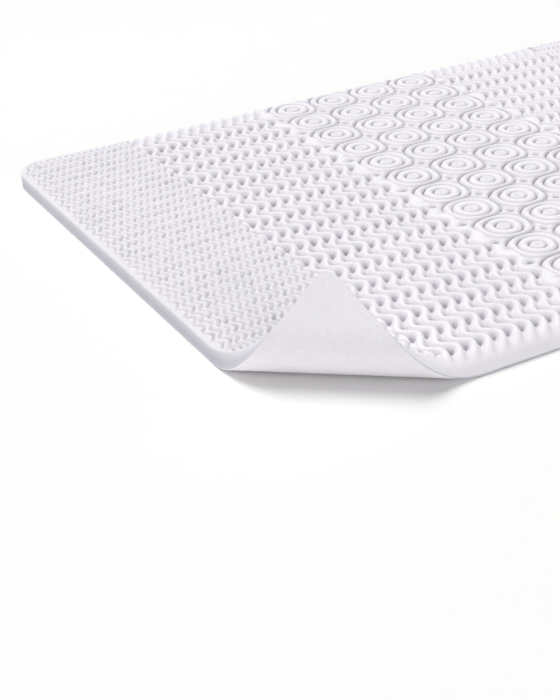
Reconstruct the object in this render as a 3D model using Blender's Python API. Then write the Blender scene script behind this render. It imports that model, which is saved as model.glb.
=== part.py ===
"""Foam mattress topper, contour cut in five zones, one corner turned up. Metres, +Z up."""
import math

import bmesh
import bpy

# outline of the slab
LENGTH = 1.90
WIDTH = 1.40
THICKNESS = 0.045
CORNER_RADIUS = 0.036

# zones along X, measured from the middle to each side
CIRCLE_ZONE_END = 0.2533
COARSE_ZONE_END = 0.636
END_STRIP = 0.010
END_HEIGHT = 0.033

# zigzag waves: they run across the width and swing along X
WAVE_PERIOD = WIDTH / 18
COARSE_SWING = 0.017
COARSE_VALLEYS = 12
COARSE_VALLEY_HEIGHT = 0.027
COARSE_INSET = 0.020
FINE_SWING = 0.0085
FINE_CRESTS = 7
FINE_VALLEY_HEIGHT = 0.039

# circles: four rows along X, twelve whole ones across the width
CIRCLE_ROWS = 4
CIRCLE_COLUMNS = 12
CIRCLE_PITCH_X = 2 * CIRCLE_ZONE_END / CIRCLE_ROWS
CIRCLE_PITCH_Y = 0.1145
CIRCLE_SIDES = 12
BUMP_HEIGHT = 0.043
GROOVE_HEIGHT = 0.036
RINGS = [
    {"radius": 0.0215, "height": GROOVE_HEIGHT},
    {"radius": 0.0305, "height": BUMP_HEIGHT},
    {"radius": 0.0405, "height": GROOVE_HEIGHT},
    {"radius": 0.0490, "height": BUMP_HEIGHT},
]
OUTER_GROOVE_RADIUS = 0.0573

# the turned-up corner at -X, -Y: a bend between two points of the outline
FOLD_ON_END = (-LENGTH / 2, -0.3845)
FOLD_ON_SIDE = (-0.5478, -WIDTH / 2)
BEND_RADIUS = 0.0867
BEND_ANGLE = {"end": 1.926, "side": 2.154}
FLAP_RADIUS = 2.3
FLAP_STRETCH = 0.185
FLAP_SHEAR = 0.154
FLAP_EASE = 0.05

STATIONS = 36


def clear_scene():
    """Empty the file of objects."""
    for item in list(bpy.data.objects):
        bpy.data.objects.remove(item, do_unlink=True)


def foam_material():
    """White open-cell foam."""
    material = bpy.data.materials.new("foam")
    material.use_nodes = True
    shader = material.node_tree.nodes["Principled BSDF"]
    shader.inputs["Base Color"].default_value = (0.86, 0.85, 0.88, 1.0)
    shader.inputs["Roughness"].default_value = 0.9
    return material


def round_corner(x, y):
    """Pull the square corners of the outline in to an arc."""
    u = (abs(x) - LENGTH / 2 + CORNER_RADIUS) / CORNER_RADIUS
    v = (abs(y) - WIDTH / 2 + CORNER_RADIUS) / CORNER_RADIUS
    if u <= 0 or v <= 0:
        return x, y
    pull = 1 - max(u, v) / math.hypot(u, v)
    shift_x = CORNER_RADIUS * u * pull
    shift_y = CORNER_RADIUS * v * pull
    return x - math.copysign(shift_x, x), y - math.copysign(shift_y, y)


def bend_profile(distance, angle):
    """Forward, up and slope of the underside, at a distance past the fold line."""
    turned = min(distance / BEND_RADIUS, angle)
    slope = turned + max(distance - BEND_RADIUS * angle, 0) / FLAP_RADIUS
    forward = BEND_RADIUS * math.sin(turned)
    forward += FLAP_RADIUS * (math.sin(slope) - math.sin(turned))
    up = BEND_RADIUS * (1 - math.cos(turned))
    up += FLAP_RADIUS * (math.cos(turned) - math.cos(slope))
    return forward, up, slope


def turn_up(x, y, z):
    """Carry a point of the flat slab to its place on the turned-up corner."""
    run_x = FOLD_ON_SIDE[0] - FOLD_ON_END[0]
    run_y = FOLD_ON_SIDE[1] - FOLD_ON_END[1]
    span = math.hypot(run_x, run_y)
    along_x = run_x / span
    along_y = run_y / span
    from_x = x - FOLD_ON_END[0]
    from_y = y - FOLD_ON_END[1]
    past = from_x * along_y - from_y * along_x
    if past <= 0:
        return x, y, z
    eased = past * past / (past + FLAP_EASE)
    along = from_x * along_x + from_y * along_y + FLAP_SHEAR * eased
    share = min(max(along / span, 0), 1)
    angle = BEND_ANGLE["end"] + (BEND_ANGLE["side"] - BEND_ANGLE["end"]) * share
    forward, up, slope = bend_profile(past + FLAP_STRETCH * eased, angle)
    forward -= z * math.sin(slope)
    up += z * math.cos(slope)
    new_x = FOLD_ON_END[0] + along * along_x + forward * along_y
    new_y = FOLD_ON_END[1] + along * along_y - forward * along_x
    return new_x, max(new_y, -WIDTH / 2), up


def station(index):
    """Y of a turning point of the waves, counted from the near side."""
    return -WIDTH / 2 + index * WIDTH / STATIONS


def wave_line(centre, swing, height):
    """One crest or valley line, from the near side to the far side."""
    points = []
    for index in range(STATIONS + 1):
        y = station(index)
        points.append((centre + swing * math.cos(2 * math.pi * y / WAVE_PERIOD), y, height))
    return points


def straight_line(x, height):
    """A plain line across the width."""
    return wave_line(x, 0.0, height)


def fine_lines(start, end):
    """Crest and valley lines of a finely waved zone, in order of X."""
    count = 2 * FINE_CRESTS - 1
    step = (end - start) / (count + 1)
    lines = []
    for index in range(count):
        height = THICKNESS if index % 2 == 0 else FINE_VALLEY_HEIGHT
        lines.append(wave_line(start + step * (index + 1), FINE_SWING, height))
    return lines


def coarse_lines(start, end):
    """Valley and crest lines of a coarsely waved zone, in order of X."""
    count = 2 * COARSE_VALLEYS - 1
    step = (end - start - 2 * COARSE_INSET) / (count - 1)
    lines = []
    for index in range(count):
        height = COARSE_VALLEY_HEIGHT if index % 2 == 0 else THICKNESS
        lines.append(wave_line(start + COARSE_INSET + step * index, COARSE_SWING, height))
    return lines


def left_lines():
    """All lines from the -X end to the last one before the circles."""
    lines = [straight_line(-LENGTH / 2, END_HEIGHT)]
    lines.append(straight_line(-LENGTH / 2 + END_STRIP, FINE_VALLEY_HEIGHT))
    lines += fine_lines(-LENGTH / 2 + END_STRIP, -COARSE_ZONE_END)
    lines.append(straight_line(-COARSE_ZONE_END, THICKNESS))
    lines += coarse_lines(-COARSE_ZONE_END, -CIRCLE_ZONE_END)
    return lines


def right_lines():
    """All lines from the first one after the circles to the +X end."""
    lines = coarse_lines(CIRCLE_ZONE_END, COARSE_ZONE_END)
    lines.append(straight_line(COARSE_ZONE_END, THICKNESS))
    lines += fine_lines(COARSE_ZONE_END, LENGTH / 2 - END_STRIP)
    lines.append(straight_line(LENGTH / 2 - END_STRIP, FINE_VALLEY_HEIGHT))
    lines.append(straight_line(LENGTH / 2, END_HEIGHT))
    return lines


def add_line(bm, points):
    """Vertices for one line."""
    return [bm.verts.new(point) for point in points]


def join_lines(bm, left, right):
    """Triangles between two lines that both run from the near side to the far side."""
    i = 0
    j = 0
    while i < len(left) - 1 or j < len(right) - 1:
        on_left = j == len(right) - 1
        if i < len(left) - 1 and not on_left:
            on_left = left[i + 1].co.y <= right[j + 1].co.y
        if on_left:
            bm.faces.new((left[i], right[j], left[i + 1]))
            i += 1
        else:
            bm.faces.new((left[i], right[j], right[j + 1]))
            j += 1


def lattice_height(half_row, half_column):
    """Height where the circles meet: pads at the corners of a cell, grooves between."""
    pad = half_row % 2 == 0 and half_column % 2 == 0
    return THICKNESS if pad else GROOVE_HEIGHT


def add_lattice(bm):
    """Vertices on the outlines of the circle cells, keyed by half steps."""
    lattice = {}
    for half_row in range(2 * CIRCLE_ROWS + 1):
        x = -CIRCLE_ZONE_END + half_row * CIRCLE_PITCH_X / 2
        for half_column in range(2 * CIRCLE_COLUMNS + 1):
            if half_row % 2 == 1 and half_column % 2 == 1:
                continue
            y = WIDTH / 2 - half_column * CIRCLE_PITCH_Y / 2
            height = lattice_height(half_row, half_column)
            lattice[half_row, half_column] = bm.verts.new((x, y, height))
        near = -1
        height = GROOVE_HEIGHT if half_row % 2 == 0 else BUMP_HEIGHT
        lattice[half_row, near] = bm.verts.new((x, -WIDTH / 2, height))
    return lattice


def ring_vertices(bm, x, y, radius, height):
    """One ring round a circle's middle, anticlockwise from +X."""
    ring = []
    for side in range(CIRCLE_SIDES):
        turn = 2 * math.pi * side / CIRCLE_SIDES
        place = (x + radius * math.cos(turn), y + radius * math.sin(turn), height)
        ring.append(bm.verts.new(place))
    return ring


def outer_ring(bm, lattice, row, column, x, y):
    """The groove round a circle: it touches the cell's outline on the four sides."""
    ring = []
    touches = [(2, 1), (1, 0), (0, 1), (1, 2)]
    for side in range(CIRCLE_SIDES):
        quarter, past = divmod(side, CIRCLE_SIDES // 4)
        if past == 0:
            step_row, step_column = touches[quarter]
            ring.append(lattice[2 * row + step_row, 2 * column + step_column])
        else:
            turn = 2 * math.pi * side / CIRCLE_SIDES
            offset_x = OUTER_GROOVE_RADIUS * math.cos(turn)
            offset_y = OUTER_GROOVE_RADIUS * math.sin(turn)
            ring.append(bm.verts.new((x + offset_x, y + offset_y, GROOVE_HEIGHT)))
    return ring


def add_circle(bm, lattice, row, column):
    """One cell: a bump, two ring ridges, the groove round them and four pad quarters."""
    x = -CIRCLE_ZONE_END + (row + 0.5) * CIRCLE_PITCH_X
    y = WIDTH / 2 - (column + 0.5) * CIRCLE_PITCH_Y
    middle = bm.verts.new((x, y, BUMP_HEIGHT))
    rings = [ring_vertices(bm, x, y, ring["radius"], ring["height"]) for ring in RINGS]
    rings.append(outer_ring(bm, lattice, row, column, x, y))
    for side in range(CIRCLE_SIDES):
        after = (side + 1) % CIRCLE_SIDES
        bm.faces.new((middle, rings[0][side], rings[0][after]))
        for inner, outer in zip(rings, rings[1:]):
            bm.faces.new((inner[side], outer[side], outer[after]))
            bm.faces.new((inner[side], outer[after], inner[after]))
    corners = [(2, 0), (0, 0), (0, 2), (2, 2)]
    for side in range(CIRCLE_SIDES):
        step_row, step_column = corners[4 * side // CIRCLE_SIDES]
        corner = lattice[2 * row + step_row, 2 * column + step_column]
        after = (side + 1) % CIRCLE_SIDES
        bm.faces.new((rings[-1][side], corner, rings[-1][after]))


def add_circles(bm):
    """The circle zone with the cut strip at the near side. Returns its lattice."""
    lattice = add_lattice(bm)
    for row in range(CIRCLE_ROWS):
        for column in range(CIRCLE_COLUMNS):
            add_circle(bm, lattice, row, column)
    last = 2 * CIRCLE_COLUMNS
    for half_row in range(2 * CIRCLE_ROWS):
        near = lattice[half_row, -1]
        next_near = lattice[half_row + 1, -1]
        inner = lattice[half_row, last]
        next_inner = lattice[half_row + 1, last]
        bm.faces.new((near, next_near, inner))
        bm.faces.new((next_near, next_inner, inner))
    return lattice


def lattice_line(lattice, half_row):
    """The circle zone's border vertices, from the near side to the far side."""
    line = [lattice[half_row, -1]]
    for half_column in range(2 * CIRCLE_COLUMNS, -1, -1):
        line.append(lattice[half_row, half_column])
    return line


def add_top(bm):
    """The contoured face. Returns its near, far, left and right border vertices."""
    left = [add_line(bm, points) for points in left_lines()]
    right = [add_line(bm, points) for points in right_lines()]
    lattice = add_circles(bm)
    first = lattice_line(lattice, 0)
    last = lattice_line(lattice, 2 * CIRCLE_ROWS)
    for group in (left + [first], [last] + right):
        for one, other in zip(group, group[1:]):
            join_lines(bm, one, other)
    inner = range(1, 2 * CIRCLE_ROWS)
    near = [line[0] for line in left] + [first[0]] + [lattice[i, -1] for i in inner]
    near += [last[0]] + [line[0] for line in right]
    far = [line[-1] for line in left] + [first[-1]] + [lattice[i, 0] for i in inner]
    far += [last[-1]] + [line[-1] for line in right]
    return left, near, far, right[-1]


def drop(bm, vertex, below):
    """The underside vertex straight below a top vertex, made once."""
    if vertex not in below:
        below[vertex] = bm.verts.new((vertex.co.x, vertex.co.y, 0.0))
    return below[vertex]


def corner_grid_size():
    """Lines and stations that the bent part of the underside takes up."""
    lines = 0
    for points in left_lines():
        lines += 1
        if min(point[0] for point in points) > FOLD_ON_SIDE[0]:
            break
    stations = math.ceil((FOLD_ON_END[1] + WIDTH / 2) * STATIONS / WIDTH)
    return lines, stations


def add_underside(bm, left, near, far, end, below):
    """A grid under the turned-up corner and one flat polygon for the rest."""
    lines, stations = corner_grid_size()
    for one, other in zip(left[:lines], left[1:lines]):
        for index in range(stations):
            quad = (one[index], one[index + 1], other[index + 1], other[index])
            a, b, c, d = [drop(bm, vertex, below) for vertex in quad]
            bm.faces.new((a, b, c))
            bm.faces.new((a, c, d))
    outline = [left[lines - 1][index] for index in range(stations + 1)]
    outline += [left[line][stations] for line in range(lines - 2, -1, -1)]
    outline += left[0][stations + 1:]
    outline += far[1:]
    outline += list(reversed(end[:-1]))
    outline += list(reversed(near[lines:-1]))
    polygon = bm.faces.new([drop(bm, vertex, below) for vertex in outline])
    bmesh.ops.triangulate(bm, faces=[polygon])


def add_sides(bm, left, near, far, end, below):
    """The cut faces round the slab."""
    loop = near + end[1:] + list(reversed(far[:-1])) + list(reversed(left[0][1:-1]))
    for index, vertex in enumerate(loop):
        after = loop[(index + 1) % len(loop)]
        low = drop(bm, vertex, below)
        low_after = drop(bm, after, below)
        bm.faces.new((vertex, low, low_after))
        bm.faces.new((vertex, low_after, after))


def make_topper(material):
    """The one piece of foam."""
    bm = bmesh.new()
    left, near, far, end = add_top(bm)
    below = {}
    add_underside(bm, left, near, far, end, below)
    add_sides(bm, left, near, far, end, below)
    for vertex in bm.verts:
        x, y = round_corner(vertex.co.x, vertex.co.y)
        vertex.co = turn_up(x, y, vertex.co.z)
    bmesh.ops.recalc_face_normals(bm, faces=bm.faces)
    mesh = bpy.data.meshes.new("topper")
    bm.to_mesh(mesh)
    bm.free()
    topper = bpy.data.objects.new("topper", mesh)
    topper.data.materials.append(material)
    bpy.context.scene.collection.objects.link(topper)


clear_scene()
make_topper(foam_material())
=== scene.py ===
import math

import bpy
from mathutils import Matrix, Vector
from mathutils.geometry import delaunay_2d_cdt


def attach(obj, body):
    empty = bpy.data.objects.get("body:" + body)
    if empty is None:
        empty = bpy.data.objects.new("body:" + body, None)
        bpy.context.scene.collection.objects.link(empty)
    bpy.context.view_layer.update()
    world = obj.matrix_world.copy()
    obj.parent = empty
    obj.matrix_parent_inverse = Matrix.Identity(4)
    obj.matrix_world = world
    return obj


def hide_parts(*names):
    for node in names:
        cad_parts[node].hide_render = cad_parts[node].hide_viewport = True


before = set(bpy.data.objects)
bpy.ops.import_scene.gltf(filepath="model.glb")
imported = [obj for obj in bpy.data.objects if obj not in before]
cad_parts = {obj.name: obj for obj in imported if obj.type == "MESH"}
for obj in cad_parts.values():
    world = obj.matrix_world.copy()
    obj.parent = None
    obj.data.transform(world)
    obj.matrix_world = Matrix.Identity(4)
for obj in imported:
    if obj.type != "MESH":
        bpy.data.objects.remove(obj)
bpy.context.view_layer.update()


# a wrapped socket and a node maker, for the relief tree and for the foam's shader

class Flow:
    def __init__(self, board, socket):
        self.board = board
        self.socket = socket

    def math(self, operation, *others):
        return self.board.calculate(operation, self, *others)

    def __add__(self, other):
        return self.board.calculate("ADD", self, other)

    def __radd__(self, other):
        return self.board.calculate("ADD", other, self)

    def __sub__(self, other):
        return self.board.calculate("SUBTRACT", self, other)

    def __rsub__(self, other):
        return self.board.calculate("SUBTRACT", other, self)

    def __mul__(self, other):
        return self.board.calculate("MULTIPLY", self, other)

    def __rmul__(self, other):
        return self.board.calculate("MULTIPLY", other, self)

    def __truediv__(self, other):
        return self.board.calculate("DIVIDE", self, other)

    def __pow__(self, other):
        return self.board.calculate("POWER", self, other)

    def __neg__(self):
        return self.board.calculate("MULTIPLY", self, -1.0)

    def __lt__(self, other):
        return self.board.calculate("LESS_THAN", self, other)

    def __gt__(self, other):
        return self.board.calculate("GREATER_THAN", self, other)


class Board:
    def __init__(self, tree):
        self.tree = tree

    def add(self, kind, settings=None, values=None, out=0):
        node = self.tree.nodes.new(kind)
        for name, setting in (settings or {}).items():
            setattr(node, name, setting)
        for name, value in (values or {}).items():
            self.feed(node.inputs[name], value)
        return Flow(self, node.outputs[out])

    def feed(self, socket, value):
        if isinstance(value, Flow):
            self.tree.links.new(value.socket, socket)
        else:
            socket.default_value = value

    def calculate(self, operation, *terms):
        return self.add("ShaderNodeMath", {"operation": operation}, dict(enumerate(terms)))


# the foam slab, in metres

topper = {
    "length": 1.90,
    "width": 1.40,
    "thickness": 0.045,
    "nearCorner": 0.026,          # corner radius on the near side
    "farCorner": 0.060,

    "wavePeriod": 1.40 / 18,
    "waveStart": 0.052,           # a place across the width where the coarse waves turn
    "waveLean": -0.42,            # makes every other leg of the coarse waves longer
    "farRun": 0.045,              # over this width the waves run out straight to the far side

    "coarseEnd": 0.6415,          # where the coarse waves stop, from the middle
    "coarseFirst": 0.2863,        # mean place of the first coarse valley
    "coarseValleys": 12,
    "coarsePitch": 0.0319,
    "coarseSwing": 0.0128,        # half the width of the zigzag
    "coarseDepth": 0.024,
    "coarseSharpness": 1.5,       # more gives narrower valleys
    "coarseWaver": 0.004,         # how far the valleys stray along the length
    "coarseTurnGain": 0.32,       # how much deeper the valleys are at their turns
    "farCutDepth": 0.80,          # least share of the depth where the far side is cut
    "farCutRise": 1 / 30,         # that share comes in over this width

    "fineEnd": 0.944,             # the fine waves die out before the very end
    "fineFade": 1 / 120,          # over this length
    "fineFirst": 0.6491,          # first fine valley from the middle
    "fineValleys": 19,
    "finePitch": 0.01665,
    "fineSwing": 0.0066,
    "fineDepth": 0.0056,
    "fineSharpness": 1.0,
    "fineWaver": 0.0048,
    "finePatches": 1.6,           # how uneven in depth the fine waves are

    "circleEnd": 0.2533,          # half length of the circle zone
    "circleRows": 4,
    "circlePitchX": 2 * 0.2533 / 4,
    "circlePitchY": 0.1145,
    "grooves": ((0.0192, 0.0029), (0.0422, 0.0030)),  # radius, half width
    "outerGroove": (0.0620, 0.0565),  # reach along, reach across
    "outerHalfWidth": 0.0032,
    "outerRadius": 0.060,         # the circle that the outer groove is bent from
    "outerSquareness": 2.6,       # 2 is an ellipse, more is squarer
    "grooveDepth": 0.0095,
    "ringWaver": 0.006,
    "pitRadius": 0.0068,
    "pitDepth": 0.014,
    "pitReach": 0.020,            # half pits past the end of the circle zone
    "dimpleRadius": 0.0052,       # small dimple in the middle of each circle
    "dimpleShare": 0.45,          # its depth beside a pit's

    "noiseScales": (14.0, 31.0, 70.0, 5.0),  # of straying, depth, fine patches and swell
    "depthSpread": 0.5,           # how uneven in depth all valleys are
    "swell": 0.003,               # slow rise and fall of the whole top
    "margin": 0.0006,             # lets the highest swell stay near the full thickness
    "endFall": 0.055,             # the ends thin out over this length
    "endDrop": 0.011,
    "nearRoll": 0.040,            # width and height of the rounding of the near side
    "farEdge": 0.006,             # the far side's top edge is eased from here
    "farEdgeRise": 1 / 160,
    "farEdgeDrop": 0.0025,
    "reliefStart": 0.004,         # the relief starts this far from the near side
    "reliefFade": 0.034,          # and is full after this much more

    "foldOnEnd": (-0.95, -0.3845),  # where the fold meets the end and the near side
    "foldOnSide": (-0.5478, -0.70),
    "bendRadius": 0.0867,
    "bendAngles": (1.926, 2.154),   # how far the flap is turned, at either end of the fold
    "flapRadius": 2.3,            # the flap's own slow curl
    "flapStretch": 0.185,         # the flap reaches out by this share more
    "flapShear": 0.154,           # and leans along the fold by this one
    "flapEase": 0.05,             # both come in over about this length

    "fineShade": 0.60,            # how dark the painted shade in the fine valleys is beside the coarse ones
    "fineShadeCurve": 0.8,        # a lower curve darkens more of a shallow groove
    "ringShade": 0.70,
    "ringShadeCurve": 0.75,
    "pitShade": 1.6,              # the pits' own painted shade beside the rings'
    "endShade": 0.20,             # the plain strip at the ends gets as much painted shade as a wave's flank
    "endShadeLead": 0.006,        # and starts this much before the fine waves' end
}

halfLength = topper["length"] / 2
halfWidth = topper["width"] / 2
nearZero = 1e-6

layout = {                        # the mesh that the relief is cut into
    "coarseSteps": 6,             # mesh lines in one coarse pitch
    "fineSteps": 4,
    "coarseStations": 170,        # mesh steps across the width
    "fineStations": 188,
    "rollStations": (0.0010, 0.0035),  # extra ones close to the near side
    "zoneGap": 0.0005,            # from a zone's border to the first fine line
    "endGap": 0.001,
    "lineGap": 0.0006,            # least distance of two lines that a border holds back
    "outlineShares": (0.0, 0.26, 0.5, 0.7, 0.84, 0.93, 1.0),  # rays along half a cell's side
    "innerRadius": 0.031,         # every other ray is enough inside this
    "ringRadii": (0.0075, 0.0138, 0.0166, 0.0192, 0.0218, 0.0252, 0.0300, 0.0358, 0.0394,
                  0.0422, 0.0450, 0.0490, 0.0537, 0.0570, 0.0600, 0.0630, 0.0668, 0.0715,
                  0.0765, 0.0812, 0.0900),
    "outerRings": (0.0460, 0.0570),  # between these the rings take the outer groove's outline
    "ringGap": 0.0003,            # least distance of two rings at a cell's border
    "cutStripStep": 0.0045,
    "sideLevels": (0.9, 0.5, 0.0),
    # step, columns, rows, and how far past the fold the points may lie
    "undersideGrids": ((0.012, 60, 60, -0.03, 1.0), (0.1, 19, 14, -9.0, -0.05)),
    "touch": 1e-5,                # points this close to a line lie on it
    "sharpAngle": 80,             # degrees, above which an edge is shaded sharp
}


def zigzag(y, period, start, lean):
    # from -1 to 1 across the width, the same as zigzagFlow in the relief tree
    turn = 2 * math.pi * (y - start) / period
    calm = min((halfWidth - y) / topper["farRun"], 1.0)
    return math.cos(turn + lean * math.cos(turn)) * calm


def stations(count):
    # even steps across the width, with some more where the near side rolls down
    even = [-halfWidth + topper["width"] * i / count for i in range(count + 1)]
    return even[:1] + [-halfWidth + y for y in layout["rollStations"]] + even[1:]


# the flat closed slab that the relief is cut into

class Slab:
    def __init__(self):
        self.points = []
        self.faces = []
        self.known = {}

    def point(self, x, y, z=None):
        z = topper["thickness"] if z is None else z
        key = (round(x, 5), round(y, 5), round(z, 5))
        if key not in self.known:
            self.known[key] = len(self.points)
            self.points.append((x, y, z))
        return self.known[key]

    def join(self, one, other, axis):
        # triangles between two lines that both rise along the axis
        i = 0
        j = 0
        while i < len(one) - 1 or j < len(other) - 1:
            takeOne = j == len(other) - 1
            if i < len(one) - 1 and not takeOne:
                takeOne = self.points[one[i + 1]][axis] <= self.points[other[j + 1]][axis]
            if takeOne:
                self.face(one[i], other[j], one[i + 1], axis)
                i += 1
            else:
                self.face(one[i], other[j], other[j + 1], axis)
                j += 1

    def face(self, a, b, c, axis=1):
        if len({a, b, c}) == 3:
            self.faces.append((a, b, c) if axis == 1 else (a, c, b))

    def onLine(self, axis, place):
        # the points on a straight line across an axis, in order
        found = sorted((point[1 - axis], i) for i, point in enumerate(self.points)
                       if abs(point[axis] - place) < layout["touch"])
        return [i for spot, i in found]


def waveColumns(slab, places, wave, count, low, high):
    # mesh lines that follow the zigzag, held inside the zone's straight borders
    columns = []
    swing, *shape = wave
    last = len(places) - 1
    gap = layout["lineGap"]
    for index, place in enumerate(places):
        line = []
        for y in stations(count):
            x = place + swing * zigzag(y, *shape)
            x = max(x, low + gap * (index + 1))
            x = min(x, high - gap * (last - index + 1))
            line.append(slab.point(x, y))
        columns.append(line)
    return columns


def columnPlaces(kind, side):
    # mean places of the mesh lines, from half a pitch before the first valley
    pitch = topper[kind + "Pitch"]
    steps = layout[kind + "Steps"]
    first = topper[kind + "First"] - pitch / 2
    return sorted(side * (first + pitch * i / steps)
                  for i in range(topper[kind + "Valleys"] * steps + 1))


def fineColumns(slab, side):
    # two straight lines, one at the coarse waves and one at the end, and the waves between
    start = topper["coarseEnd"] + layout["zoneGap"]
    ends = sorted((side * start, side * (halfLength - layout["endGap"])))
    count = layout["fineStations"]
    wave = (topper["fineSwing"], topper["wavePeriod"] / 2, 0.0, 0.0)
    columns = waveColumns(slab, columnPlaces("fine", side), wave, count, *ends)
    inner, outer = [[slab.point(side * x, y) for y in stations(count)]
                    for x in (start, halfLength)]
    if side < 0:
        return [outer] + columns + [inner]
    return [inner] + columns + [outer]


def coarseColumns(slab, side):
    ends = sorted((side * topper["circleEnd"], side * topper["coarseEnd"]))
    wave = (topper["coarseSwing"], topper["wavePeriod"], topper["waveStart"],
            topper["waveLean"])
    return waveColumns(slab, columnPlaces("coarse", side), wave, layout["coarseStations"],
                       *ends)


def cellAngles():
    # rays from a circle's middle, closer together towards the corners of its cell
    halfX = topper["circlePitchX"] / 2
    halfY = topper["circlePitchY"] / 2
    onEnd = [math.atan2(halfY * share, halfX) for share in layout["outlineShares"]]
    onSide = [math.atan2(halfY, halfX * share) for share in layout["outlineShares"][:-1]]
    quarter = onEnd + list(reversed(onSide))
    half = quarter + [math.pi - angle for angle in reversed(quarter[1:-1])]
    return half + [angle + math.pi for angle in half]


def outerShape(c, s):
    # how far out the outer groove lies in a direction, beside its nominal circle
    along, across = topper["outerGroove"]
    power = topper["outerSquareness"]
    reach = (abs(c / along) ** power + abs(s / across) ** power) ** (-1 / power)
    return reach / topper["outerRadius"]


def circleCell(slab, middleX, middleY, angles):
    # rings of points, the last one on the cell's border
    halfX = topper["circlePitchX"] / 2
    halfY = topper["circlePitchY"] / 2
    start, full = layout["outerRings"]
    last = len(layout["ringRadii"]) - 1
    rings = []
    for number, radius in enumerate(layout["ringRadii"]):
        share = min(max((radius - start) / (full - start), 0.0), 1.0)
        spared = layout["ringGap"] * (last + 1 - number)
        used = angles[::2] if radius < layout["innerRadius"] else angles
        ring = []
        for angle in used:
            c = math.cos(angle)
            s = math.sin(angle)
            reach = min(halfX / max(abs(c), nearZero), halfY / max(abs(s), nearZero))
            spot = min(radius * (1 + share * (outerShape(c, s) - 1)), reach - spared)
            if number == last:
                spot = reach
            ring.append(slab.point(middleX + spot * c, middleY + spot * s))
        rings.append(ring)
    middle = slab.point(middleX, middleY)
    for i in range(len(rings[0])):
        slab.face(middle, rings[0][i], rings[0][(i + 1) % len(rings[0])])
    for inner, outer in zip(rings, rings[1:]):
        count = len(outer)
        step = count // len(inner)
        for i in range(0, count, step):
            near = inner[i // step]
            after = inner[(i // step + 1) % len(inner)]
            for k in range(step):
                slab.face(near, outer[i + k], outer[(i + k + 1) % count])
            slab.face(near, outer[(i + step) % count], after)


def circleZone(slab):
    # whole cells from the far side, then the strip that the near side cuts off
    angles = cellAngles()
    end = topper["circleEnd"]
    columns = int(topper["width"] / topper["circlePitchY"])
    for row in range(topper["circleRows"]):
        for column in range(columns):
            circleCell(slab, -end + (row + 0.5) * topper["circlePitchX"],
                       halfWidth - (column + 0.5) * topper["circlePitchY"], angles)
    cut = halfWidth - columns * topper["circlePitchY"]
    rest = cut + halfWidth
    across = round(2 * end / layout["cutStripStep"])
    down = round(rest / layout["cutStripStep"])
    rows = [slab.onLine(1, cut)]
    for k in range(1, down + 1):
        y = cut - rest * k / down
        rows.append([slab.point(-end + 2 * end * i / across, y) for i in range(across + 1)])
    for one, other in zip(rows, rows[1:]):
        slab.join(one, other, 0)
    return rows[-1], slab.onLine(0, -end), slab.onLine(0, end)


def slabMesh():
    slab = Slab()
    nearStrip, leftBorder, rightBorder = circleZone(slab)
    left = fineColumns(slab, -1) + coarseColumns(slab, -1)
    right = coarseColumns(slab, 1) + fineColumns(slab, 1)
    for group in (left + [leftBorder], [rightBorder] + right):
        for one, other in zip(group, group[1:]):
            slab.join(one, other, 1)
    near = [line[0] for line in left] + nearStrip + [line[0] for line in right]
    loop = near + right[-1][1:] + slab.onLine(1, halfWidth)[-2::-1] + left[0][-2:0:-1]
    closeSlab(slab, loop)
    mesh = bpy.data.meshes.new("slab")
    mesh.from_pydata(slab.points, [], slab.faces)
    mesh.validate()
    print("slab laid out:", len(slab.points), "points,", len(slab.faces), "triangles")
    return mesh


def closeSlab(slab, loop):
    # cut sides in a few levels, then the underside
    corners = [(i, (i + 1) % len(loop)) for i in range(len(loop))]
    above = loop
    for level in layout["sideLevels"]:
        below = [slab.point(*slab.points[i][:2], level * topper["thickness"]) for i in loop]
        for i, j in corners:
            slab.faces.append((above[i], below[i], below[j]))
            slab.faces.append((above[i], below[j], above[j]))
        above = below
    flat = [Vector(slab.points[i][:2]) for i in above]
    found = delaunay_2d_cdt(flat + undersidePoints(), corners, [], 1, nearZero)
    places = [slab.point(place.x, place.y, 0.0) for place in found[0]]
    for a, b, c in found[2]:
        slab.faces.append((places[a], places[c], places[b]))


def foldLine():
    # where the fold starts, which way it runs and how long it is
    endX, endY = topper["foldOnEnd"]
    sideX, sideY = topper["foldOnSide"]
    span = math.hypot(sideX - endX, sideY - endY)
    return endX, endY, (sideX - endX) / span, (sideY - endY) / span, span


def undersidePoints():
    # close together where the corner bends, far apart where the slab lies flat
    points = []
    endX, endY, alongX, alongY, span = foldLine()
    for step, columns, rows, least, most in layout["undersideGrids"]:
        for i in range(1, columns):
            for j in range(1, rows):
                x = -halfLength + i * step
                y = -halfWidth + j * step
                past = (x - endX) * alongY - (y - endY) * alongX
                if least < past < most:
                    points.append(Vector((x, y)))
    return points


# the relief tree cuts the waves, circles and pits, and then turns the corner up

reliefInputs = (
    ("Thickness", "thickness"),
    ("Wave Period", "wavePeriod"),
    ("Wave Lean", "waveLean"),
    ("Coarse Pitch", "coarsePitch"),
    ("Coarse Depth", "coarseDepth"),
    ("Coarse Swing", "coarseSwing"),
    ("Fine Pitch", "finePitch"),
    ("Fine Depth", "fineDepth"),
    ("Fine Swing", "fineSwing"),
    ("Circle Pitch X", "circlePitchX"),
    ("Circle Pitch Y", "circlePitchY"),
    ("Groove Depth", "grooveDepth"),
    ("Pit Radius", "pitRadius"),
    ("Pit Depth", "pitDepth"),
    ("Bend Radius", "bendRadius"),
    ("Flap Radius", "flapRadius"),
)


def clampFlow(flow, low, high):
    return flow.math("MAXIMUM", low).math("MINIMUM", high)


def rampFlow(flow, start, length):
    # 0 up to the start, then rising to 1 over the length
    return clampFlow((flow - start) / length, 0.0, 1.0)


def noiseFlow(board, place, scale, detail=2.0, roughness=0.5):
    # soft noise, from about 0 to 1
    return board.add("ShaderNodeTexNoise", {}, {"Vector": place, "Scale": scale,
                                                "Detail": detail, "Roughness": roughness})


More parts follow.
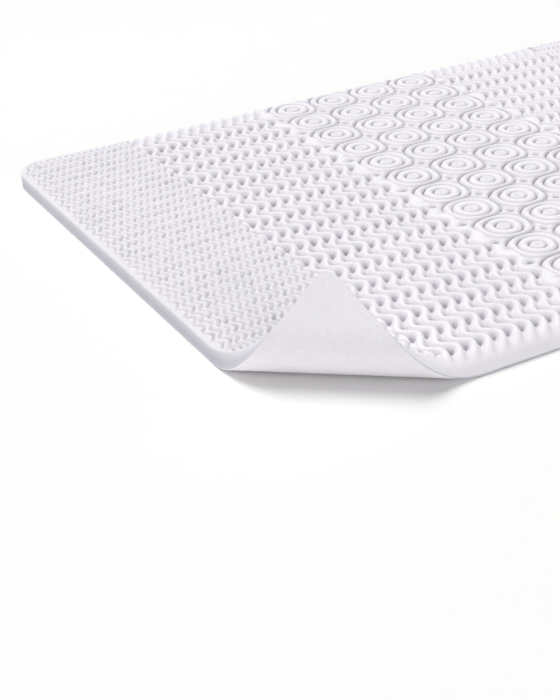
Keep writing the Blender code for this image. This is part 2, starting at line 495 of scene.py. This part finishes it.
def zigzagFlow(y, period, start, lean):
    turn = (y - start) * (2 * math.pi) / period
    calm = ((halfWidth - y) / topper["farRun"]).math("MINIMUM", 1.0)
    return (turn + turn.math("COSINE") * lean).math("COSINE") * calm


def valleyFlow(phase, last, sharpness):
    # 1 in the bottom of each valley from 0 to last, 0 on the crests and outside
    inside = (phase > -0.5) * (phase < last + 0.5)
    wave = ((phase * (2 * math.pi)).math("COSINE") * 0.5 + 0.5).math("MAXIMUM", 0.0)
    return wave ** sharpness * inside


def coarseFlow(x, y, given, waver):
    bent = zigzagFlow(y, given["Wave Period"], topper["waveStart"], given["Wave Lean"])
    flatX = x - given["Coarse Swing"] * bent + waver * topper["coarseWaver"]
    phase = (flatX.math("ABSOLUTE") - topper["coarseFirst"]) / given["Coarse Pitch"]
    valleys = valleyFlow(phase, topper["coarseValleys"] - 1, topper["coarseSharpness"])
    spot = x.math("ABSOLUTE")
    zone = (spot > topper["circleEnd"]) * (spot < topper["coarseEnd"])
    gain = topper["coarseTurnGain"]
    deeper = (bent * bent * 2.0 - 1.0) * gain + (1 - gain)
    farCut = rampFlow(y, halfWidth - topper["farRun"], topper["farCutRise"])
    deeper = deeper.math("MAXIMUM", farCut * topper["farCutDepth"])
    return valleys * zone * deeper


def fineFlow(x, y, given, waver):
    bent = zigzagFlow(y, given["Wave Period"] * 0.5, 0.0, 0.0)
    flatX = x - given["Fine Swing"] * bent + waver * topper["fineWaver"]
    phase = (flatX.math("ABSOLUTE") - topper["fineFirst"]) / given["Fine Pitch"]
    valleys = valleyFlow(phase, topper["fineValleys"] - 1, topper["fineSharpness"])
    spot = x.math("ABSOLUTE")
    fade = rampFlow(-spot, -topper["fineEnd"], topper["fineFade"])
    return valleys * (spot > topper["coarseEnd"]) * fade


def cellPlace(place, start, pitch, sign):
    # signed distance from the middle of the cell that a place is in
    steps = (place - start) * sign / pitch
    return (steps - steps.math("FLOOR") - 0.5) * pitch


def distance(one, other):
    return (one * one + other * other).math("SQRT")


def grooveFlow(radius, middle, width):
    away = (radius - middle) / width
    return (-(away * away)).math("EXPONENT")


def circleFlow(x, y, given, waver):
    fromX = cellPlace(x, -topper["circleEnd"], given["Circle Pitch X"], 1.0)
    fromY = cellPlace(y, halfWidth, given["Circle Pitch Y"], -1.0)
    sideX = fromX.math("ABSOLUTE")
    sideY = fromY.math("ABSOLUTE")
    stray = waver * topper["ringWaver"]
    radius = distance(fromX, fromY) + stray
    along, across = topper["outerGroove"]
    power = topper["outerSquareness"]
    outer = ((sideX / along) ** power + (sideY / across) ** power) ** (1 / power)
    outer = outer * topper["outerRadius"] + stray
    grooves = grooveFlow(outer, topper["outerRadius"], topper["outerHalfWidth"])
    for middle, width in topper["grooves"]:
        grooves = grooves.math("MAXIMUM", grooveFlow(radius, middle, width))
    spot = x.math("ABSOLUTE")
    grooves = grooves * (spot < topper["circleEnd"]) * given["Groove Depth"]
    corner = distance(sideX - given["Circle Pitch X"] * 0.5,
                      sideY - given["Circle Pitch Y"] * 0.5)
    pits = grooveFlow(corner, 0.0, given["Pit Radius"])
    dimples = grooveFlow(radius, 0.0, topper["dimpleRadius"]) * topper["dimpleShare"]
    inside = spot < topper["circleEnd"] + topper["pitReach"]
    return grooves, (pits + dimples) * given["Pit Depth"] * inside


def edgeFlow(x, y):
    # the ends thin out, the near side rolls down, the far side only loses its sharp edge
    fall = topper["endFall"]
    roll = topper["nearRoll"]
    end = rampFlow(x.math("ABSOLUTE"), halfLength - fall, fall)
    near = rampFlow(-y, halfWidth - roll, roll)
    far = rampFlow(y, halfWidth - topper["farEdge"], topper["farEdgeRise"])
    thinned = end * end * topper["endDrop"]
    rolled = (1.0 - (1.0 - near * near).math("MAXIMUM", 0.0).math("SQRT")) * roll
    rolled = rolled * (1.0 - thinned / topper["thickness"])
    return thinned + rolled + far * far * topper["farEdgeDrop"]


def fadeFlow(y):
    # the relief dies out towards the near side
    fade = rampFlow(y, topper["reliefStart"] - halfWidth, topper["reliefFade"])
    return fade * fade * (3.0 - fade * 2.0)


def roundedOutline(x, y):
    # pulls the square corners in to their radius
    radius = (y > 0.0) * (topper["farCorner"] - topper["nearCorner"]) + topper["nearCorner"]
    u = ((x.math("ABSOLUTE") - halfLength + radius) / radius).math("MAXIMUM", 0.0)
    v = ((y.math("ABSOLUTE") - halfWidth + radius) / radius).math("MAXIMUM", 0.0)
    pull = 1.0 - u.math("MAXIMUM", v) / distance(u, v).math("MAXIMUM", nearZero)
    pull = pull * (u * v > 0.0)
    newX = x - x.math("SIGN") * u * pull * radius
    newY = y - y.math("SIGN") * v * pull * radius
    return newX, newY


def turnedUp(x, y, z, given):
    # a tight bend along the fold, then a flap that curls only a little
    endX, endY, alongX, alongY, span = foldLine()
    fromX = x - endX
    fromY = y - endY
    past = fromX * alongY - fromY * alongX
    lifted = past.math("MAXIMUM", 0.0)
    eased = lifted * lifted / (lifted + topper["flapEase"])
    along = fromX * alongX + fromY * alongY + eased * topper["flapShear"]
    first, last = topper["bendAngles"]
    angle = rampFlow(along, 0.0, span) * (last - first) + first
    radius = given["Bend Radius"]
    flap = given["Flap Radius"]
    reach = lifted + eased * topper["flapStretch"]
    turned = (reach / radius).math("MINIMUM", angle)
    slope = turned + (reach - radius * angle).math("MAXIMUM", 0.0) / flap
    sinTurned = turned.math("SINE")
    cosTurned = turned.math("COSINE")
    sinSlope = slope.math("SINE")
    cosSlope = slope.math("COSINE")
    forward = past.math("MINIMUM", 0.0) + radius * sinTurned
    forward = forward + flap * (sinSlope - sinTurned) - z * sinSlope
    up = radius * (1.0 - cosTurned) + flap * (cosTurned - cosSlope) + z * cosSlope
    newX = along * alongX + forward * alongY + endX
    newY = (along * alongY - forward * alongX + endY).math("MAXIMUM", -halfWidth)
    return newX, newY, up


def storeFlow(board, geometry, name, value):
    return board.add("GeometryNodeStoreNamedAttribute",
                     {"data_type": "FLOAT", "domain": "POINT"},
                     {"Geometry": geometry, "Name": name, "Value": value})


def reliefTree(material):
    tree = bpy.data.node_groups.new("topperRelief", "GeometryNodeTree")
    tree.interface.new_socket("Geometry", in_out="INPUT", socket_type="NodeSocketGeometry")
    identifiers = {}
    for name, key in reliefInputs:
        socket = tree.interface.new_socket(name, in_out="INPUT", socket_type="NodeSocketFloat")
        identifiers[socket.identifier] = topper[key]
    tree.interface.new_socket("Geometry", in_out="OUTPUT", socket_type="NodeSocketGeometry")
    board = Board(tree)
    entry = tree.nodes.new("NodeGroupInput")
    given = {name: Flow(board, entry.outputs[name]) for name, key in reliefInputs}
    place = board.add("GeometryNodeInputPosition")
    parts = tree.nodes.new("ShaderNodeSeparateXYZ")
    board.feed(parts.inputs[0], place)
    x, y, z = (Flow(board, parts.outputs[i]) for i in range(3))

    waver, uneven, patchy, swell = (noiseFlow(board, place, scale) - 0.5
                                    for scale in topper["noiseScales"])
    fade = fadeFlow(y)
    uneven = (uneven * topper["depthSpread"] + 1.0) * fade
    patchy = patchy * topper["finePatches"] + 1.0
    coarse = coarseFlow(x, y, given, waver) * given["Coarse Depth"] * uneven
    fine = fineFlow(x, y, given, waver) * given["Fine Depth"] * uneven * patchy
    grooves, pits = circleFlow(x, y, given, waver)
    carved = coarse + fine + (grooves + pits) * uneven
    share = z / given["Thickness"]
    height = given["Thickness"] - carved - edgeFlow(x, y)
    height = height + swell * topper["swell"] - topper["margin"]
    roundX, roundY = roundedOutline(x, y)
    newX, newY, newZ = turnedUp(roundX, roundY, height * share, given)

    # painted shade for the material: darker in the valleys, grooves and pits, where shade
    # falls, and a flank's grey on the plain strip at the ends
    fineShare = (fine / given["Fine Depth"]).math("MAXIMUM", 0.0) ** topper["fineShadeCurve"]
    shaded = coarse / given["Coarse Depth"] + fineShare * topper["fineShade"]
    pitShare = pits / given["Pit Depth"] * topper["pitShade"]
    rings = (grooves / given["Groove Depth"] + pitShare) * fade
    shaded = shaded + rings ** topper["ringShadeCurve"] * topper["ringShade"]
    shadeStart = topper["fineEnd"] - topper["endShadeLead"]
    ending = rampFlow(x.math("ABSOLUTE"), shadeStart, topper["fineFade"]) * topper["endShade"]
    shaded = shaded.math("MINIMUM", 1.0).math("MAXIMUM", ending)

    body = Flow(board, entry.outputs["Geometry"])
    # the carved attribute holds this painted shade, not the depth
    body = storeFlow(board, body, "carved", shaded)
    body = storeFlow(board, body, "level", share)
    moved = board.add("ShaderNodeCombineXYZ", {}, {"X": newX, "Y": newY, "Z": newZ})
    body = board.add("GeometryNodeSetPosition", {}, {"Geometry": body, "Position": moved})
    body = board.add("GeometryNodeRealizeInstances", {}, {"Geometry": body})
    body = board.add("GeometryNodeSetMaterial", {}, {"Geometry": body, "Material": material})
    leave = tree.nodes.new("NodeGroupOutput")
    board.feed(leave.inputs["Geometry"], body)
    return tree, identifiers


def makeTopper(material):
    # runs the tree on the flat slab and keeps what comes out as the piece
    flat = bpy.data.objects.new("flatSlab", slabMesh())
    bpy.context.scene.collection.objects.link(flat)
    tree, identifiers = reliefTree(material)
    modifier = flat.modifiers.new("relief", "NODES")
    modifier.node_group = tree
    for identifier, value in identifiers.items():
        modifier[identifier] = value
    bpy.context.view_layer.update()
    shaped = flat.evaluated_get(bpy.context.evaluated_depsgraph_get())
    mesh = bpy.data.meshes.new_from_object(shaped)
    bpy.data.objects.remove(flat, do_unlink=True)
    mesh.name = "foamTopper"
    mesh.shade_smooth()
    mesh.set_sharp_from_angle(angle=math.radians(layout["sharpAngle"]))
    piece = bpy.data.objects.new("foamTopper", mesh)
    bpy.context.scene.collection.objects.link(piece)
    print("topper cut and turned up:", len(mesh.polygons), "triangles")
    return piece


# the foam's look

foam = {
    "light": (0.948, 0.925, 0.958, 1.0),
    "shade": (0.860, 0.838, 0.880, 1.0),
    "cloudScale": 6.0,            # wide clouds and small mottles mix light and shade
    "cloudDetail": 3.0,
    "cloudShare": 0.9,
    "mottleScale": 55.0,
    "mottleDetail": 4.0,
    "mottleShare": 0.7,
    "shadeOffset": 0.35,

    # painted shade: the colour that valleys, grooves, pits and pores are darkened towards
    "valley": (0.235, 0.218, 0.275, 1.0),
    "grooveShade": 0.92,
    "shadeStart": 0.30,           # share of the depth where the painted shade in a valley starts
    "shadeCurve": 1.1,
    "flankShade": 0.16,           # painted shade on the flanks, so only the crests stay bright
    "flankEnd": 0.2,              # share of the depth where the flank's painted shade is full

    "sideShadeColour": (0.490, 0.490, 0.585, 1.0),
    "sideShade": 0.66,            # painted shade makes the cut sides greyer and bluer than the top
    "sideRise": 1.7,
    "underside": (0.958, 0.938, 0.978, 1.0),
    "undersideEnd": 0.05,         # share of the thickness up to which it shows
    "undersidePink": (0.895, 0.855, 0.900, 1.0),
    "fleckScale": 95.0,
    "fleckRoughness": 0.7,
    "fleckStart": 0.40,
    "fleckRise": 0.25,
    "fleckShare": 0.6,

    "cellScale": 620.0,
    "poreSize": 0.38,
    "poreRise": 0.35,
    "poreShade": 0.12,
    "grainScale": 210.0,
    "fineDetail": 5.0,            # of the grain and of the flecks
    "roughness": 0.88,
    "roughnessSpread": 0.14,
    "bumpStrength": 0.55,
    "bumpHeight": 0.0007,
    "bumpShares": (0.75, 0.35, 0.5),  # of the grain, the cells and the mottles
    "sheen": 0.12,
    "sheenRoughness": 0.6,
    "shine": 0.25,
}


def mixColours(board, factor, one, other):
    return board.add("ShaderNodeMix", {"data_type": "RGBA"},
                     {0: factor, 6: one, 7: other}, out=2)


def foamMaterial():
    material = bpy.data.materials.new("whiteFoam")
    material.use_nodes = True
    tree = material.node_tree
    shader = tree.nodes["Principled BSDF"]
    board = Board(tree)
    place = board.add("ShaderNodeTexCoord", out=3)  # object coordinates
    # carved is the amount of painted shade from the relief tree
    carved, level = (board.add("ShaderNodeAttribute", {"attribute_name": name}, out=2)
                     for name in ("carved", "level"))

    # the light and shade tones mixed at random, then painted shade on the cut sides, then the
    # underside
    cloudy = noiseFlow(board, place, foam["cloudScale"], foam["cloudDetail"])
    mottled = noiseFlow(board, place, foam["mottleScale"], foam["mottleDetail"])
    mixing = cloudy * foam["cloudShare"] + mottled * foam["mottleShare"]
    mixing = clampFlow(mixing - foam["shadeOffset"], 0.0, 1.0)
    colour = mixColours(board, mixing, foam["light"], foam["shade"])
    below = clampFlow(1.0 - level / foam["undersideEnd"], 0.0, 1.0)
    side = clampFlow((1.0 - level) * foam["sideRise"], 0.0, 1.0)
    side = side * (1.0 - below) * foam["sideShade"]
    colour = mixColours(board, side, colour, foam["sideShadeColour"])
    flecks = noiseFlow(board, place, foam["fleckScale"], foam["fineDetail"],
                       foam["fleckRoughness"])
    flecks = rampFlow(flecks, foam["fleckStart"], foam["fleckRise"]) * foam["fleckShare"]
    under = mixColours(board, flecks, foam["underside"], foam["undersidePink"])
    colour = mixColours(board, below, colour, under)

    # painted shade in the relief's valleys, grooves and pits, then painted shade in the pores
    flank = rampFlow(carved, 0.0, foam["flankEnd"]) * foam["flankShade"]
    valleyShade = rampFlow(carved, foam["shadeStart"], 1 - foam["shadeStart"])
    valleyShade = (valleyShade ** foam["shadeCurve"] * foam["grooveShade"] + flank) * level
    colour = mixColours(board, valleyShade, colour, foam["valley"])
    cells = board.add("ShaderNodeTexVoronoi", {"feature": "F1"},
                      {"Vector": place, "Scale": foam["cellScale"]})
    pores = clampFlow((foam["poreSize"] - cells) * foam["poreRise"], 0.0, foam["poreShade"])
    colour = mixColours(board, pores, colour, foam["valley"])
    board.feed(shader.inputs["Base Color"], colour)

    grain = noiseFlow(board, place, foam["grainScale"], foam["fineDetail"])
    spread = foam["roughnessSpread"]
    board.feed(shader.inputs["Roughness"], grain * spread + (foam["roughness"] - spread / 2))
    grainShare, cellShare, mottleShare = foam["bumpShares"]
    surface = grain * grainShare + cells * cellShare + mottled * mottleShare
    bump = board.add("ShaderNodeBump", {}, {"Strength": foam["bumpStrength"],
                                            "Distance": foam["bumpHeight"], "Height": surface})
    board.feed(shader.inputs["Normal"], bump)
    shader.inputs["Sheen Weight"].default_value = foam["sheen"]
    shader.inputs["Sheen Roughness"].default_value = foam["sheenRoughness"]
    shader.inputs["Specular IOR Level"].default_value = foam["shine"]
    print("foam mixed")
    return material


# floor, backdrop, light and camera

studio = {
    "floorColour": (0.930, 0.925, 0.915, 1.0),
    "floorRoughness": 0.8,
    "floorReach": 9.0,
    "floorLevel": -0.0008,
    "backdropColour": (0.93, 0.93, 0.94, 1.0),
    "backdropRoughness": 0.9,
    "backdropPlace": 8.9,
    "backdropHeights": (-0.1, 8.0),
    "worldColour": (0.90, 0.93, 1.0, 1.0),
    "worldStrength": 0.17,
    "key": ((-0.20, 0.40, 1.0), 2.52, 42, (1.0, 0.995, 0.985)),  # from, power, spread, tint
    "fill": ((-0.05, -0.90, 0.42), 1.06, 40, (1.0, 0.99, 0.99)),
    "lampDistance": 3.0,
}

viewer = {                        # the place and lens of the photo's camera
    "place": (-1.8580, -2.3896, 1.2519),
    "ahead": (0.4055, 0.7723, -0.4890),
    "right": (0.8718, -0.4876, -0.0472),
    "focalPixels": 1354.95,
    "imageHeight": 700,
    "sensor": 36,
}


def plainMaterial(name, colour, roughness):
    material = bpy.data.materials.new(name)
    material.use_nodes = True
    shader = material.node_tree.nodes["Principled BSDF"]
    shader.inputs["Base Color"].default_value = colour
    shader.inputs["Roughness"].default_value = roughness
    return material


def plate(name, low, high, material):
    # one flat face between two opposite corners, lying or upright
    corners = [low, (high[0], low[1], low[2]), high, (low[0], high[1], high[2])]
    mesh = bpy.data.meshes.new(name)
    mesh.from_pydata(corners, [], [(0, 1, 2, 3)])
    mesh.materials.append(material)
    item = bpy.data.objects.new(name, mesh)
    bpy.context.scene.collection.objects.link(item)
    return item


def softLight(name, setting):
    # a wide sun, so that its shadows are soft
    direction, power, spread, tint = setting
    lamp = bpy.data.lights.new(name, "SUN")
    lamp.energy = power
    lamp.angle = math.radians(spread)
    lamp.color = tint
    item = bpy.data.objects.new(name, lamp)
    item.location = Vector(direction) * studio["lampDistance"]
    item.rotation_euler = (-Vector(direction)).to_track_quat("-Z", "Y").to_euler()
    bpy.context.scene.collection.objects.link(item)


def buildStudio():
    reach = studio["floorReach"]
    level = studio["floorLevel"]
    back = studio["backdropPlace"]
    bottom, top = studio["backdropHeights"]
    floor = plate("floor", (-reach, -reach, level), (reach, reach, level),
                  plainMaterial("paleFloor", studio["floorColour"], studio["floorRoughness"]))
    backdrop = plate("backdrop", (-reach, back, bottom), (reach, back, top),
                     plainMaterial("paleBackdrop", studio["backdropColour"],
                                   studio["backdropRoughness"]))
    world = bpy.data.worlds.new("studioLight")
    world.use_nodes = True
    background = world.node_tree.nodes["Background"]
    background.inputs["Color"].default_value = studio["worldColour"]
    background.inputs["Strength"].default_value = studio["worldStrength"]
    bpy.context.scene.world = world
    softLight("keyLight", studio["key"])
    softLight("fillLight", studio["fill"])
    bpy.context.scene.view_settings.view_transform = "Standard"


def buildCamera():
    # turned so that it looks ahead with its right side as given
    ahead = Vector(viewer["ahead"]).normalized()
    right = Vector(viewer["right"])
    right = (right - ahead * right.dot(ahead)).normalized()
    up = right.cross(ahead)
    turn = Matrix((right, up, -ahead)).transposed()
    lens = bpy.data.cameras.new("camera")
    lens.sensor_fit = "AUTO"
    lens.sensor_width = viewer["sensor"]
    lens.lens = viewer["focalPixels"] * viewer["sensor"] / viewer["imageHeight"]
    camera = bpy.data.objects.new("camera", lens)
    camera.matrix_world = Matrix.Translation(viewer["place"]) @ turn.to_4x4()
    bpy.context.scene.collection.objects.link(camera)
    bpy.context.scene.camera = camera


piece = makeTopper(foamMaterial())
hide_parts("topper")
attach(piece, "root")

buildStudio()
buildCamera()
print("studio and camera ready")
